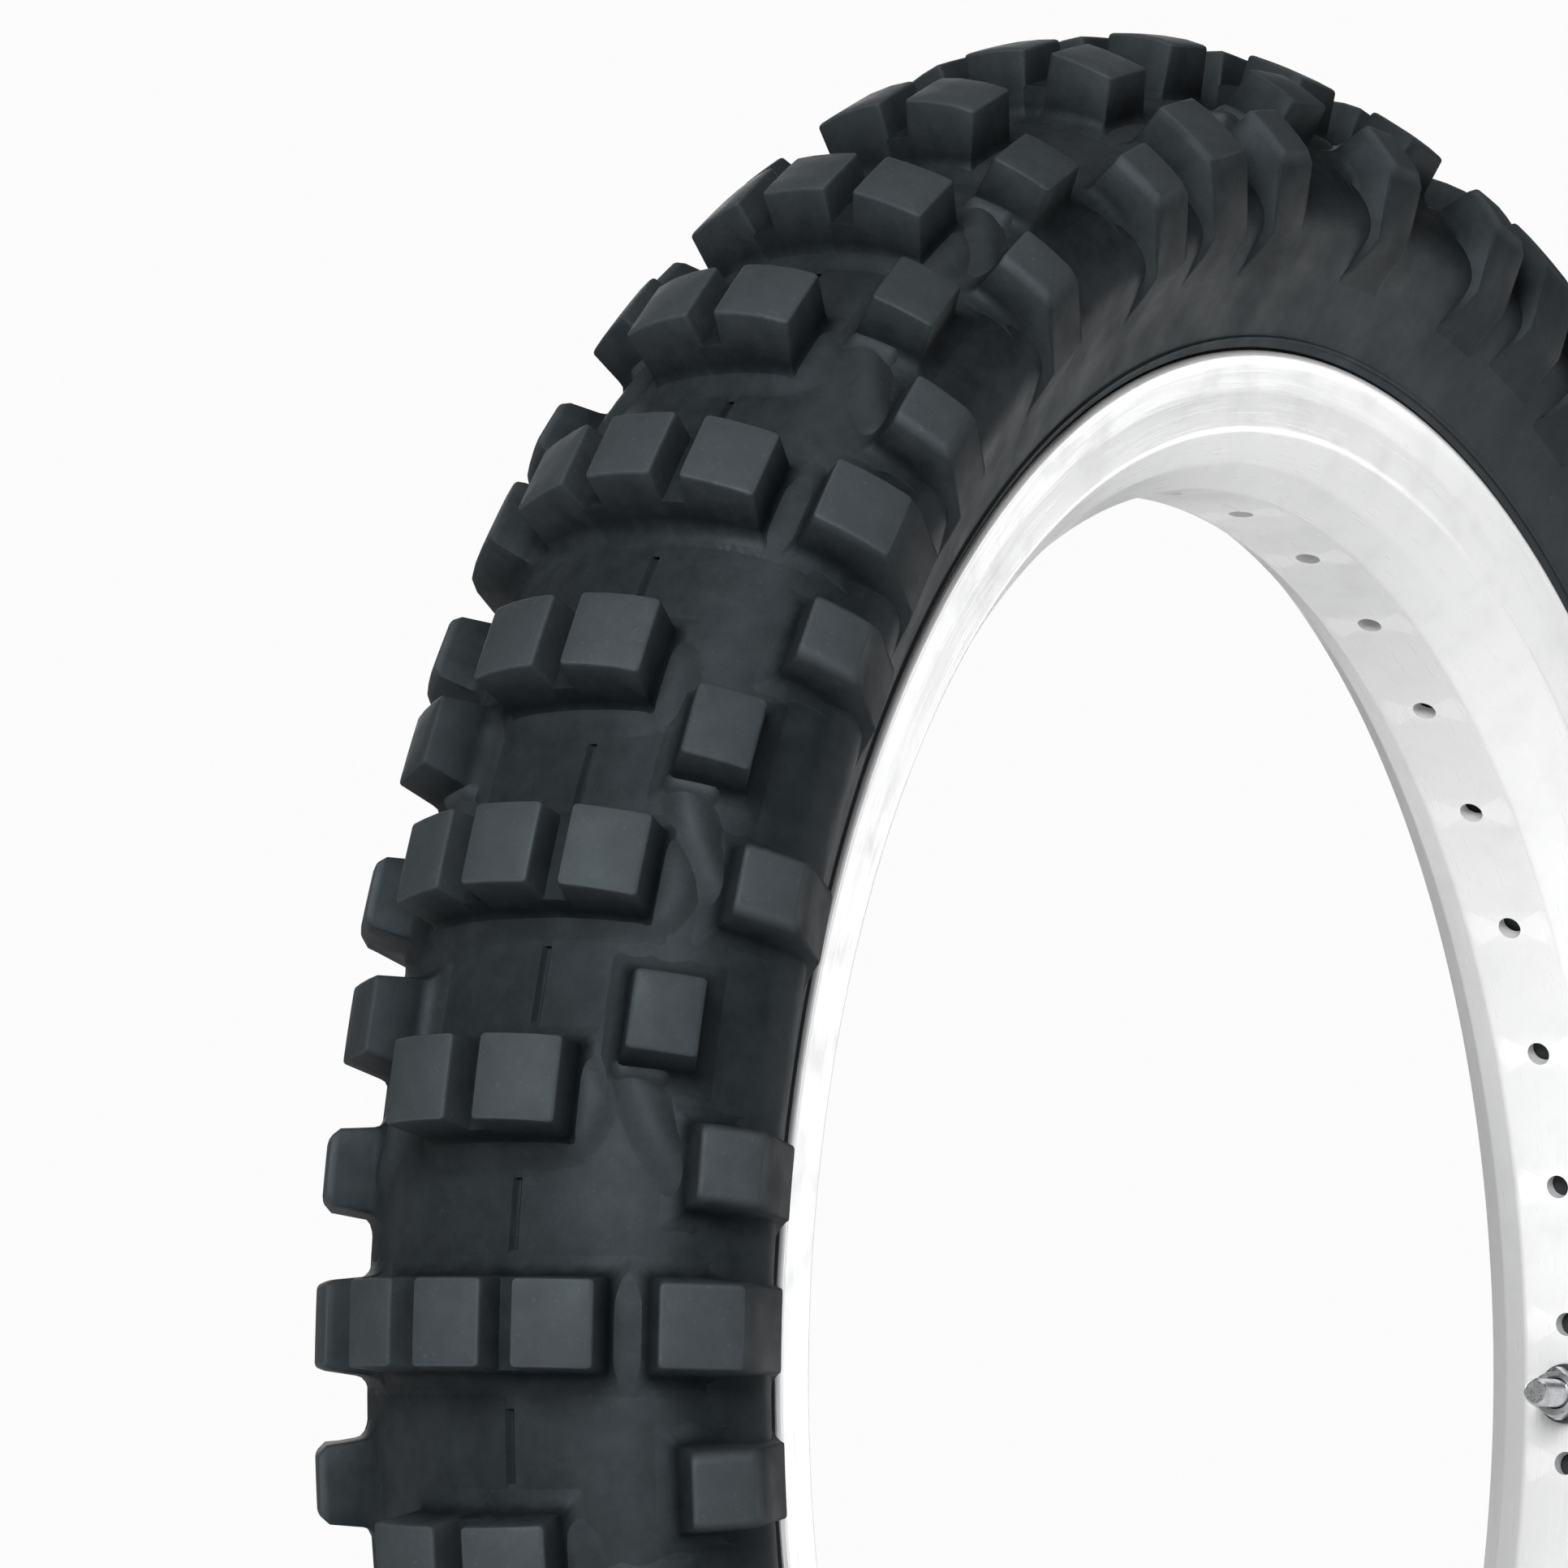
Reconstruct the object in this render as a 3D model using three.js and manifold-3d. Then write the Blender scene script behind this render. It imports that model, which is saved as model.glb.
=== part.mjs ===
// Off-road motorcycle tyre of size 110/90-19 on its light alloy rim, with the inner tube, valve and rim lock.
// Millimetres. The origin is the wheel centre, the wheel turns about Y and Z is up.
// Cross-section points are pairs [a, r]: a is the distance from the mid-plane and r the distance from the axis.
// Angles round the wheel are in degrees from -X towards +Z.
import * as THREE from "three";
import { mergeVertices } from "three/addons/utils/BufferGeometryUtils.js";
import Module from "manifold-3d";

// Tread arc: the tops of the centre knobs lie on it, and those towards the shoulders a little lower.
const ARC_CENTRE_RADIUS = 272.5;
const ARC_RADIUS = 69.5;
const SHOULDER_DROP = 2;
const PATTERN_START = 0;
const ROW_PITCH = 9;
const SIDE_PITCH = 6;
const NEIGHBOUR_SHIFT = 0.4;
const KNOB_LENGTH = 19.4;
const SHOULDER_LENGTH = 17.5;
const KNOB_DRAFT = 1.2;
const FOOT_RADIUS = 49.4;
const FOOT_GROWTH = 0.088;

// Knob widths, as angles across the tread arc.
const CENTRE_KNOB = [-7.2, 7.2];
const OUTER_CROWN_KNOB = [13.1, 28.1];
const PAIR_KNOB = [2.9, 18.8];
const STEP_KNOB = [30.5, 43.2];
const SHOULDER_KNOB = [46.5, 58.5];
const WIDE_SHOULDER_KNOB = [41.8, 57.8];
const BUTTRESS_FOOT = [68, 54.9];

// Outer skin of the casing between the knobs, from the middle of the tread to the bead.
const CROWN_SKIN = [[9.1, 323.5], [26.1, 319.1], [38.7, 311.4], [51.6, 292.5]];
const SIDEWALL_SKIN = [[51.6, 292.1], [48.6, 286], [41.2, 274.2], [33.4, 260.6]];
const TREAD_BASE = 3.5;
const TREAD_EDGE = [48.3, 291.5];

// Spine that the breaker, the plies and the liner follow, each at its own depth.
const CARCASS_SPINE = [[9.1, 323.5], [30, 317.5], [51.5, 292.3], [40, 271], [22.6, 247.7]];

const RIM_SECTION = [
  [8.5, 229], [14.5, 241.4], [27.3, 241.4], [27.3, 250.2], [31.4, 255.3], [32, 259.3],
  [34.2, 258.6], [34.3, 256.6], [31, 248.8], [30.2, 239.4], [13, 225],
];
const SPOKE_HOLES = 36;
const SPOKE_HOLE_RADIUS = 3.3;

const VALVE_ANGLE = -90;
const LOCK_ANGLE = 180;
const FINE = 60;
const COARSE = 30;
const RIM_SEGMENTS = SPOKE_HOLES;

const wasm = await Module();
wasm.setup();
const group = new THREE.Group();
group.name = "motorcycle_tyre";

const RUBBER = { color: 0x17191b, roughness: 0.75 };
const CORD = { color: 0xb9ae92, roughness: 0.9 };
const STEEL = { color: 0x8f9499, roughness: 0.35, metalness: 1 };
const ALLOY = { color: 0xc9ccd0, roughness: 0.3, metalness: 1 };
const BRASS = { color: 0xb5944a, roughness: 0.35, metalness: 1 };
const BLACK_PLASTIC = { color: 0x101112, roughness: 0.5 };

function add(name, geometry, finish) {
  const mesh = new THREE.Mesh(geometry, new THREE.MeshStandardMaterial(finish));
  mesh.name = name;
  group.add(mesh);
}

function solid(geometry) {
  const plain = geometry.clone();
  plain.deleteAttribute("normal");
  plain.deleteAttribute("uv");
  const merged = mergeVertices(plain, 1e-3);
  return new wasm.Manifold(
    new wasm.Mesh({
      numProp: 3,
      vertProperties: merged.attributes.position.array,
      triVerts: new Uint32Array(merged.index.array),
    }),
  );
}

function surface(body) {
  const mesh = body.getMesh();
  const geometry = new THREE.BufferGeometry();
  geometry.setAttribute("position", new THREE.BufferAttribute(mesh.vertProperties, 3));
  geometry.setIndex(new THREE.BufferAttribute(mesh.triVerts, 1));
  const flat = geometry.toNonIndexed();
  flat.computeVertexNormals();
  return flat;
}

const mirrored = (points) => points.map(([a, r]) => [-a, r]).reverse();

// Ring about the wheel axis from a closed cross-section, with a facet edge at the start angle.
function ring(section, segments, startAngle = PATTERN_START + SIDE_PITCH / 2) {
  const points = section.map(([a, r]) => new THREE.Vector2(r, a));
  if (THREE.ShapeUtils.area(points) < 0) points.reverse();
  points.push(points[0].clone());
  return new THREE.LatheGeometry(points, segments, THREE.MathUtils.degToRad(startAngle - 90));
}

// Line parallel to an open line of points, at a distance to its left.
function offsetLine(points, distance) {
  const lines = points.map(([a, r]) => new THREE.Vector2(a, r));
  return lines.map((point, i) => {
    const before = i > 0 ? point.clone().sub(lines[i - 1]) : lines[1].clone().sub(point);
    const after = i < lines.length - 1 ? lines[i + 1].clone().sub(point) : before.clone();
    const left = new THREE.Vector2(-before.y, before.x).normalize();
    const next = new THREE.Vector2(-after.y, after.x).normalize();
    const mitre = left.clone().add(next).normalize();
    mitre.multiplyScalar(distance / mitre.dot(left));
    return [point.x + mitre.x, point.y + mitre.y];
  });
}

// Strip of even thickness along an open line.
function strip(line, thickness) {
  return [...offsetLine(line, thickness / 2), ...offsetLine(line, -thickness / 2).reverse()];
}

const acrossTyre = (half) => [...mirrored(half), ...half];

// Line at a depth below the carcass spine, over the given spine points.
function carcassLine(depth, count) {
  const whole = acrossTyre(CARCASS_SPINE);
  const inside = offsetLine(whole, -depth);
  return inside.slice(CARCASS_SPINE.length, CARCASS_SPINE.length + count);
}

const arcPoint = (degrees, radius) => {
  const turn = THREE.MathUtils.degToRad(degrees);
  return [radius * Math.sin(turn), ARC_CENTRE_RADIUS + radius * Math.cos(turn)];
};

const topPoint = (degrees) => {
  const drop = SHOULDER_DROP * THREE.MathUtils.smoothstep(Math.abs(degrees), 8, 30);
  return arcPoint(degrees, ARC_RADIUS - drop);
};

const footPoint = (degrees) => arcPoint(degrees, FOOT_RADIUS + FOOT_GROWTH * Math.abs(degrees));

// Tapered block that stands on the casing. corners: inner top, outer top, inner foot, outer foot.
function block(angle, side, corners, length, draft) {
  const turn = THREE.MathUtils.degToRad(angle);
  const [innerTop, outerTop, innerFoot, outerFoot] = corners;
  const geometry = new THREE.BoxGeometry(1, 1, 1);
  const places = geometry.attributes.position;
  for (let i = 0; i < places.count; i++) {
    const top = places.getZ(i) > 0;
    const outer = places.getY(i) > 0;
    const [a, r] = top ? (outer ? outerTop : innerTop) : outer ? outerFoot : innerFoot;
    const along = -side * places.getX(i) * (top ? length : length + 2 * draft);
    places.setXYZ(
      i,
      -r * Math.cos(turn) + along * Math.sin(turn),
      -side * a,
      r * Math.sin(turn) + along * Math.cos(turn),
    );
  }
  return geometry;
}

function knob(angle, side, [inner, outer], length, foot) {
  const spread = 1.3;
  const corners = [
    topPoint(inner),
    topPoint(outer),
    footPoint(inner - spread),
    foot ? arcPoint(...foot) : footPoint(outer + spread),
  ];
  return solid(block(angle, side, corners, length, KNOB_DRAFT));
}

// Turns a shape built along Y so that Y points away from the wheel axis at an angle.
function atAngle(geometry, angle, radius) {
  const turn = THREE.MathUtils.degToRad(angle);
  const outward = new THREE.Vector3(-Math.cos(turn), 0, Math.sin(turn));
  const rotation = new THREE.Quaternion().setFromUnitVectors(new THREE.Vector3(0, 1, 0), outward);
  return geometry.applyQuaternion(rotation).translate(...outward.multiplyScalar(radius).toArray());
}

// Round or polygonal bar along a wheel radius, between two distances from the axis.
function radialBar(angle, from, to, radius, sides) {
  const bar = new THREE.CylinderGeometry(radius, radius, to - from, sides);
  return atAngle(bar, angle, (from + to) / 2);
}

// Turned piece along a wheel radius: pairs [own radius, distance from the wheel axis].
function radialTurning(angle, profile, sides) {
  const points = profile.map(([own, r]) => new THREE.Vector2(own, r));
  return atAngle(new THREE.LatheGeometry(points, sides), angle, 0);
}

// Tread: the base rubber of the crown with every knob moulded on.
function tread() {
  const outerSkin = acrossTyre(CROWN_SKIN);
  const innerSkin = acrossTyre([...carcassLine(TREAD_BASE, 2), TREAD_EDGE]);
  const pieces = [solid(ring([...outerSkin, ...innerSkin.reverse()], FINE))];
  const rows = 360 / ROW_PITCH;
  for (let row = 0; row < rows; row++) {
    const angle = PATTERN_START + row * ROW_PITCH;
    const width = row % 2 ? PAIR_KNOB : OUTER_CROWN_KNOB;
    if (row % 2 === 0) pieces.push(knob(angle, 1, CENTRE_KNOB, KNOB_LENGTH));
    for (const side of [1, -1]) pieces.push(knob(angle, side, width, KNOB_LENGTH));
  }
  for (let step = 0; step < 360 / SIDE_PITCH; step++) {
    const place = step % 6;
    const shift = place === 1 ? NEIGHBOUR_SHIFT : place === 5 ? -NEIGHBOUR_SHIFT : 0;
    const angle = PATTERN_START + step * SIDE_PITCH + shift;
    for (const side of [1, -1]) pieces.push(sideKnob(angle, side, place));
  }
  return surface(wasm.Manifold.union(pieces));
}

function sideKnob(angle, side, place) {
  if (place === 2 || place === 4) return knob(angle, side, STEP_KNOB, SHOULDER_LENGTH);
  if (place === 0) return knob(angle, side, WIDE_SHOULDER_KNOB, KNOB_LENGTH, BUTTRESS_FOOT);
  return knob(angle, side, SHOULDER_KNOB, SHOULDER_LENGTH, BUTTRESS_FOOT);
}

function innerTube() {
  const half = [[9, 312.8], [24, 307.5], [38.6, 290.5], [32.4, 278], [13.4, 259.5], [12.4, 245], [6.5, 233.6]];
  const hollow = [[8.4, 310.8], [23, 305.8], [36.4, 289.8], [30.8, 279.4], [11.2, 260.4], [5.6, 235.6]];
  const dent = (grow) => solid(radialBox(LOCK_ANGLE, 220, 249 + grow, 16 + grow, 26 + grow));
  const wall = solid(ring(acrossTyre(half), COARSE)).subtract(dent(0));
  const air = solid(ring(acrossTyre(hollow), COARSE)).subtract(dent(2));
  const hole = solid(radialBar(VALVE_ANGLE, 228, 240, 4.3, 12));
  return surface(wall.subtract(air).subtract(hole));
}

// Box along a wheel radius: half width across the wheel and half length round it.
function radialBox(angle, from, to, halfWidth, halfLength) {
  const corners = [[-halfWidth, to], [halfWidth, to], [-halfWidth, from], [halfWidth, from]];
  return block(angle, 1, corners, 2 * halfLength, 0);
}

function rim() {
  const body = solid(ring([...RIM_SECTION, ...mirrored(RIM_SECTION)], RIM_SEGMENTS, 0));
  const holes = [];
  for (let i = 0; i < SPOKE_HOLES; i++) {
    const angle = ((i + 0.5) * 360) / SPOKE_HOLES;
    holes.push(solid(radialBar(angle, 220, 234, SPOKE_HOLE_RADIUS, 6)));
  }
  holes.push(solid(radialBar(VALVE_ANGLE, 220, 234, 4.4, 12)));
  holes.push(solid(radialBar(LOCK_ANGLE, 220, 234, 4.4, 12)));
  return surface(body.subtract(wasm.Manifold.union(holes)));
}

function rimStrip() {
  const section = [[-7.4, 230.6], [7.4, 230.6], [7.4, 231.8], [-7.4, 231.8]];
  const holes = [VALVE_ANGLE, LOCK_ANGLE].map((angle) => solid(radialBar(angle, 225, 236, 5, 12)));
  return surface(solid(ring(section, COARSE)).subtract(wasm.Manifold.union(holes)));
}

function lockShoe() {
  const corners = [[-14.4, 246], [14.4, 246], [-10, 236.4], [10, 236.4]];
  const shoe = solid(block(LOCK_ANGLE, 1, corners, 46, 0));
  return surface(shoe.subtract(solid(radialBar(LOCK_ANGLE, 230, 242.3, 4.3, 12))));
}

// Ring of material along a wheel radius with a through bore.
function bushing(angle, from, to, radius, bore, sides) {
  const body = solid(radialBar(angle, from, to, radius, sides));
  return surface(body.subtract(solid(radialBar(angle, from - 5, to + 5, bore, 12))));
}

add("tread", tread(), RUBBER);

const sidewallInner = [[31.2, 260], [33.2, 264.5], [42.8, 281], [47.6, 291.3]];
const sidewall = [...SIDEWALL_SKIN, ...sidewallInner];
add("sidewall_left", ring(mirrored(sidewall), FINE), RUBBER);
add("sidewall_right", ring(sidewall, FINE), RUBBER);

const breaker = acrossTyre([...carcassLine(4.4, 2), [42.5, 296.2]]);
add("breaker_ply", ring(strip(breaker, 1), COARSE), CORD);

const outerPlyEnd = [[18.9, 252], [18.9, 245.3], [24.3, 245.3], [24.3, 252.5], [28.5, 257.3]];
const outerPly = acrossTyre([...carcassLine(5.7, 4), ...outerPlyEnd]);
add("body_ply_outer", ring(strip(outerPly, 0.9), COARSE), CORD);

const innerPly = acrossTyre([...carcassLine(6.9, 4), [17.6, 252.5], [17.6, 245.3]]);
add("body_ply_inner", ring(strip(innerPly, 0.9), COARSE), CORD);

const liner = acrossTyre([...carcassLine(8.2, 4), [16.8, 256.8]]);
add("inner_liner", ring(strip(liner, 1.1), COARSE), RUBBER);

const beadCore = [[20.5, 246.1], [22.7, 246.1], [23.5, 248], [22.7, 249.9], [20.5, 249.9], [19.7, 248]];
const beadFiller = [[19.9, 250.3], [23.4, 250.3], [23.4, 252.9], [28, 258], [19.9, 251.4]];
const chaferLine = [[30, 257], [26.4, 251.4], [26.4, 243.7], [16.3, 243.7], [16.3, 252.5]];
const chafer = strip(chaferLine, 0.8);
for (const [side, place] of [["left", mirrored], ["right", (points) => points]]) {
  add("bead_core_" + side, ring(place(beadCore), COARSE), STEEL);
  add("bead_filler_" + side, ring(place(beadFiller), COARSE), RUBBER);
  add("chafer_" + side, ring(place(chafer), COARSE), RUBBER);
}

add("rim", rim(), ALLOY);
add("rim_strip", rimStrip(), RUBBER);
add("inner_tube", innerTube(), RUBBER);

const stem = [[2.7, 197], [4, 197], [4, 235.9], [5.4, 235.9], [5.4, 237.1], [2.7, 237.1], [2.7, 197]];
add("valve_stem", radialTurning(VALVE_ANGLE, stem, 16), BRASS);
add("valve_washer", bushing(VALVE_ANGLE, 223, 224.1, 7.5, 4.4, 16), STEEL);
add("valve_nut", bushing(VALVE_ANGLE, 218.7, 222.7, 6.9, 4.3, 6), BRASS);
const core = [[1, 199], [2.35, 199], [2.35, 215], [1, 215], [1, 199]];
add("valve_core", radialTurning(VALVE_ANGLE, core, 12), BRASS);
const pin = [[0, 197.6], [0.6, 197.6], [0.6, 215.4], [1.9, 215.4], [1.9, 217], [0, 217]];
add("valve_pin", radialTurning(VALVE_ANGLE, pin, 12), BRASS);
const cap = [[0, 192.5], [4.4, 192.5], [5.1, 193.4], [5.1, 207], [4.3, 207], [4.3, 195.6], [0, 195.6]];
add("valve_cap", radialTurning(VALVE_ANGLE, cap, 16), BLACK_PLASTIC);

add("lock_shoe", lockShoe(), RUBBER);
add("lock_stud", radialBar(LOCK_ANGLE, 204, 242, 4, 16), STEEL);
add("lock_washer", bushing(LOCK_ANGLE, 222.5, 224.1, 8.5, 4.4, 16), BLACK_PLASTIC);
add("lock_nut", bushing(LOCK_ANGLE, 216.5, 222.2, 7.5, 4.3, 6), STEEL);

export default group;
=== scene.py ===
"""Off-road motorcycle tyre of size 110/90-19 on its light alloy rim: pieces, finishes, camera and light.

Metres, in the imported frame: the wheel centre is the origin, the wheel turns about Y and Z is up.
Cross-sections are pairs (a, r) in millimetres, where a is the distance from the mid-plane and r the
distance from the axis. Angles round the wheel run from -X towards +Z. Angles across the tread are
measured about the centre of the tread arc.
"""

from __future__ import annotations

import logging
import math
from contextlib import contextmanager
from dataclasses import dataclass, field
from enum import Enum
from typing import Callable, Iterator, Sequence

import bmesh
import bpy
from mathutils import Euler, Matrix, Vector


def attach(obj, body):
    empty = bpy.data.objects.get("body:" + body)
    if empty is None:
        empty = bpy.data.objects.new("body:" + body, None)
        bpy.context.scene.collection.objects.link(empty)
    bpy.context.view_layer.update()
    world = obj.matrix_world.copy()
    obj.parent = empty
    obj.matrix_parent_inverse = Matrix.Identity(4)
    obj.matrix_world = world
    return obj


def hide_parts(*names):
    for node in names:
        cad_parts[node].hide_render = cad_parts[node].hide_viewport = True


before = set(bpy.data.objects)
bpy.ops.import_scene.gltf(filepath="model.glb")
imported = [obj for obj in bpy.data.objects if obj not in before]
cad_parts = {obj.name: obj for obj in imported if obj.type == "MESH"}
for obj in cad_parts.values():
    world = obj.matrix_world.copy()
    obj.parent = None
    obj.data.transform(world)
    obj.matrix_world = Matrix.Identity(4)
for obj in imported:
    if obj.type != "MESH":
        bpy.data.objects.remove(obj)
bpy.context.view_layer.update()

LOG = logging.getLogger("tyre")
MM = 0.001
WHEEL = "wheel"

Point = tuple[float, float]
Colour = tuple[float, float, float]


# --------------------------------------------------------------------------------------------------
# Workshop: selection, edit mode, modifiers and rings
# --------------------------------------------------------------------------------------------------


def clear_selection() -> None:
    """Leaves edit mode and deselects every object."""
    if bpy.context.mode != "OBJECT":
        bpy.ops.object.mode_set(mode="OBJECT")
    bpy.ops.object.select_all(action="DESELECT")


def activate(piece: bpy.types.Object) -> None:
    """Makes a piece the only selected and the active object."""
    clear_selection()
    piece.select_set(True)
    bpy.context.view_layer.objects.active = piece


@contextmanager
def editing(piece: bpy.types.Object) -> Iterator[None]:
    """Opens a piece in edit mode with nothing selected, and closes it again.

    Args:
        piece: The mesh object to edit.
    """
    activate(piece)
    bpy.ops.object.mode_set(mode="EDIT")
    bpy.ops.mesh.select_all(action="DESELECT")
    yield
    bpy.ops.object.mode_set(mode="OBJECT")


class Part(Enum):
    """What a selection is made of."""

    FACE = "faces"
    EDGE = "edges"
    VERT = "verts"


def pick(piece: bpy.types.Object, part: Part, test: Callable[..., bool]) -> None:
    """Selects the faces, edges or points that pass a test, and nothing else.

    Args:
        piece: The mesh object in edit mode.
        part: Which of the three to go through.
        test: Called with each of them.
    """
    bpy.ops.mesh.select_mode(type=part.name)
    bpy.ops.mesh.select_all(action="DESELECT")
    mesh = bmesh.from_edit_mesh(piece.data)
    for each in getattr(mesh, part.value):
        if test(each):
            each.select_set(True)
    if part is Part.VERT:
        mesh.select_flush_mode()
    bmesh.update_edit_mesh(piece.data)


def cut(planes: Sequence[tuple[tuple, tuple]]) -> None:
    """Cuts the piece in edit mode along planes, each a point and a direction."""
    for spot, way in planes:
        bpy.ops.mesh.select_all(action="SELECT")
        bpy.ops.mesh.bisect(plane_co=spot, plane_no=way)


def stretch(value: Sequence[float], centre: Sequence[float]) -> None:
    """Scales the selected points about a centre.

    Args:
        value: Scale along X, Y and Z.
        centre: The point that stays where it is.
    """
    bpy.ops.transform.resize(value=tuple(value), center_override=tuple(centre))


def set_in_mesh(piece: bpy.types.Object) -> None:
    """Moves a piece's place, turn and scale into its mesh."""
    activate(piece)
    bpy.ops.object.transform_apply(location=True, rotation=True, scale=True)


def finish_with(piece: bpy.types.Object, kind: str, **settings: object) -> None:
    """Adds a modifier to a piece and applies it.

    Args:
        piece: The mesh object.
        kind: The modifier's type.
        settings: Values for the modifier's properties.
    """
    activate(piece)
    modifier = piece.modifiers.new(kind.lower(), kind)
    for key, value in settings.items():
        setattr(modifier, key, value)
    bpy.ops.object.modifier_apply(modifier=modifier.name)


def duplicate(piece: bpy.types.Object, place: Matrix) -> bpy.types.Object:
    """Copies a piece with its own mesh.

    Args:
        piece: The mesh object to copy.
        place: The move that takes the copy's mesh to its place. A mirror turns its faces round again.

    Returns:
        The copy.
    """
    copy = piece.copy()
    copy.data = piece.data.copy()
    copy.data.transform(place)
    if place.determinant() < 0:
        copy.data.flip_normals()
    bpy.context.scene.collection.objects.link(copy)
    return copy


def join(name: str, pieces: Sequence[bpy.types.Object]) -> bpy.types.Object:
    """Joins pieces into one object.

    Args:
        name: The name of the joined piece.
        pieces: The mesh objects to join.

    Returns:
        The joined object.
    """
    clear_selection()
    for piece in pieces:
        piece.select_set(True)
    bpy.context.view_layer.objects.active = pieces[0]
    bpy.ops.object.join()
    pieces[0].name = pieces[0].data.name = name
    return pieces[0]


def smooth(piece: bpy.types.Object, angle: float = 35) -> None:
    """Shades a piece smooth, and keeps edges sharper than an angle in degrees."""
    activate(piece)
    bpy.ops.object.shade_smooth_by_angle(angle=math.radians(angle))


def bar_along_x(radius: float, depth: float, middle: float) -> bpy.types.Object:
    """Cylinder along the X axis, in millimetres.

    Args:
        radius: Its radius.
        depth: Its length.
        middle: The place of its middle.

    Returns:
        The cylinder.
    """
    clear_selection()
    bpy.ops.mesh.primitive_cylinder_add(
        vertices=24, radius=radius * MM, depth=depth * MM, location=(middle * MM, 0, 0),
        rotation=(0, math.pi / 2, 0),
    )
    return bpy.context.active_object


def even_cuts(count: int) -> list[float]:
    """Shares from -0.5 to 0.5 that cut a length into equal parts, without its ends."""
    return [(cut + 1) / (count + 1) - 0.5 for cut in range(count)]


def curve_through(points: Sequence[Point], steps: int) -> list[Point]:
    """Smooth line through points, with its ends as given.

    Args:
        points: Pairs that the line passes through.
        steps: Stretches between two neighbouring pairs.

    Returns:
        The points of the line.
    """
    line = [points[0], *points, points[-1]]
    out: list[Point] = []
    for i in range(1, len(line) - 2):
        before, start, end, after = line[i - 1 : i + 3]
        for k in range(steps):
            t = k / steps
            weights = (
                -0.5 * t + t * t - 0.5 * t**3,
                1 - 2.5 * t * t + 1.5 * t**3,
                0.5 * t + 2 * t * t - 1.5 * t**3,
                -0.5 * t * t + 0.5 * t**3,
            )
            corners = (before, start, end, after)
            out.append(tuple(sum(w * c[axis] for w, c in zip(weights, corners)) for axis in (0, 1)))
    return [*out, points[-1]]


def rounded(points: Sequence[Point], radius: float, steps: int = 3) -> list[Point]:
    """Closed outline with each of its corners rounded.

    Args:
        points: The corners.
        radius: The length cut from each side of a corner, at most 0.45 of the side.
        steps: Stretches in each rounded corner.

    Returns:
        The points of the rounded outline.
    """
    out: list[Point] = []
    for i, corner in enumerate(points):
        here = Vector(corner)
        back = Vector(points[i - 1]) - here
        ahead = Vector(points[(i + 1) % len(points)]) - here
        start = here + back.normalized() * min(radius, 0.45 * back.length)
        end = here + ahead.normalized() * min(radius, 0.45 * ahead.length)
        for k in range(steps + 1):
            t = k / steps
            spot = start * (1 - t) ** 2 + here * 2 * t * (1 - t) + end * t * t
            out.append((spot.x, spot.y))
    return out


def mirrored(points: Sequence[Point]) -> list[Point]:
    """The same points on the other side of the mid-plane, in reverse order."""
    return [(-a, r) for a, r in reversed(points)]


def spun_ring(name: str, section: Sequence[Point], steps: int) -> bpy.types.Object:
    """Closed ring about the wheel axis.

    Args:
        name: The name of the piece.
        section: The closed cross-section, in millimetres.
        steps: Stretches round the wheel.

    Returns:
        The ring, with its faces outwards.
    """
    mesh = bpy.data.meshes.new(name)
    outline = [(-r * MM, -a * MM, 0.0) for a, r in section]
    edges = [(i, (i + 1) % len(outline)) for i in range(len(outline))]
    mesh.from_pydata(outline, edges, [])
    ring = bpy.data.objects.new(name, mesh)
    bpy.context.scene.collection.objects.link(ring)
    with editing(ring):
        bpy.ops.mesh.select_all(action="SELECT")
        bpy.ops.mesh.spin(steps=steps, angle=math.tau, center=(0, 0, 0), axis=(0, 1, 0))
        bpy.ops.mesh.select_all(action="SELECT")
        bpy.ops.mesh.remove_doubles(threshold=1e-6)
        bpy.ops.mesh.delete_loose(use_verts=False, use_edges=True, use_faces=False)
        bpy.ops.mesh.normals_make_consistent(inside=False)
    smooth(ring)
    return ring


def paint(piece: bpy.types.Object, layer: str, value: Callable[[Vector], float]) -> None:
    """Stores a number on each point of a piece, for its finish to read.

    Args:
        piece: The mesh object.
        layer: The name of the attribute.
        value: Called with the place of each point.
    """
    numbers = piece.data.attributes.new(layer, "FLOAT", "POINT")
    numbers.data.foreach_set("value", [value(point.co) for point in piece.data.vertices])


# --------------------------------------------------------------------------------------------------
# Finishes
# --------------------------------------------------------------------------------------------------


# Added to a material's name: the frame already holds plain materials with the names of the slots.
FINISH = "_finish"


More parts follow.
